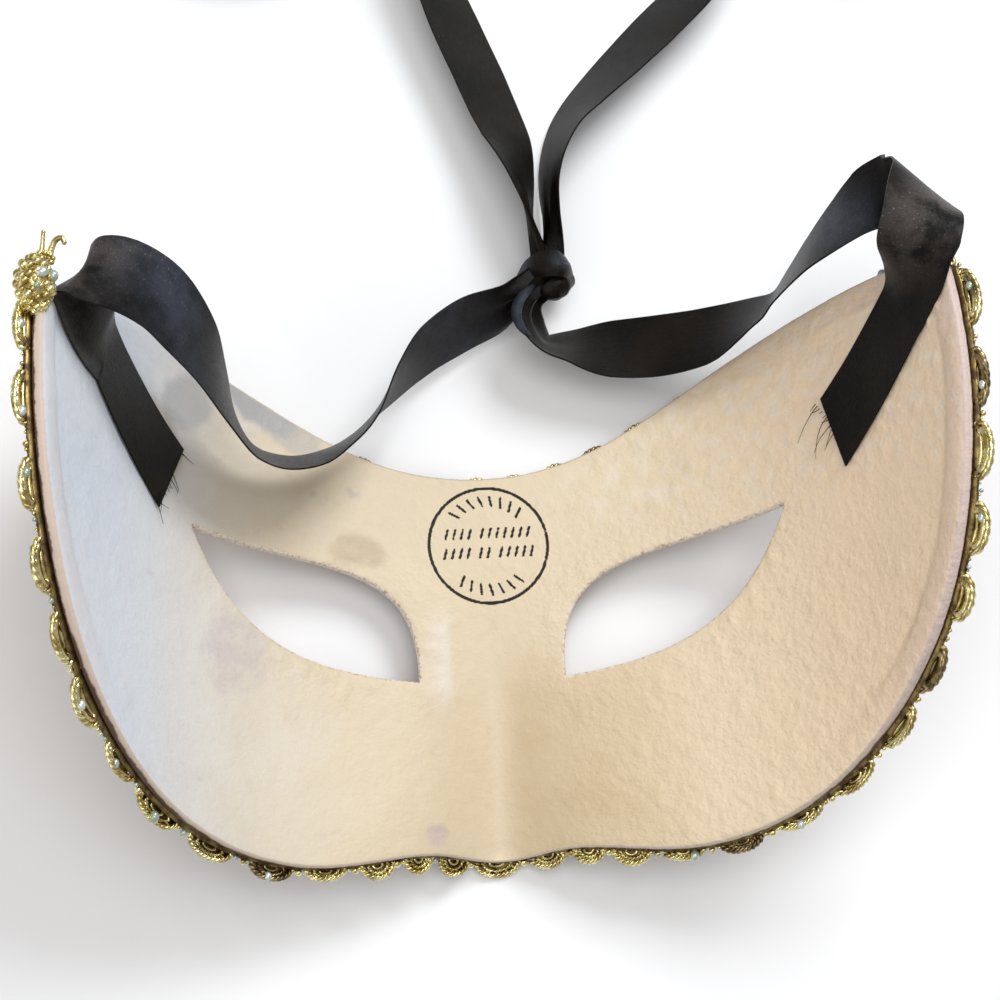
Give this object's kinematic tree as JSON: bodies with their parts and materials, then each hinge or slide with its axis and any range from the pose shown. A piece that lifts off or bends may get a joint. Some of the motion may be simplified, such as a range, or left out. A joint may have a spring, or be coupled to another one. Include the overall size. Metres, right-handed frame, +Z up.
{
  "type": "venetian half mask",
  "caption": "Half mask of papier-mache lying face down, with almond eye holes, a gold braid round the edge and two black satin ribbons tied in a knot above the brow.",
  "frame": {"origin": "on the floor under the middle of the mask itself, its ribbons left out", "axes": "+Z up out of the mask's hollow as it lies face down, +X along its width, +Y from the nose towards the brow and the knot"},
  "size_m": [0.207, 0.2487, 0.0724],
  "materials": {
    "papier_mache": "rough painted papier-mache, off-white and beige inside",
    "gold_braid": "antique gold braid with beads and stones, half glossy",
    "gold_beads": "antique gold, grainy",
    "black_satin": "black satin ribbon with a soft sheen"
  },
  "bodies": {
    "root": {"mask_shell": "papier_mache", "edge_braid": "gold_braid", "tip_ornament": "gold_beads", "ribbon_right": "black_satin", "ribbon_left": "black_satin", "ribbon_right_tail": "black_satin", "ribbon_left_tail": "black_satin", "ribbon_right_coil": "black_satin", "ribbon_left_coil": "black_satin", "ribbon_knot": "black_satin"}
  },
  "joints": []
}
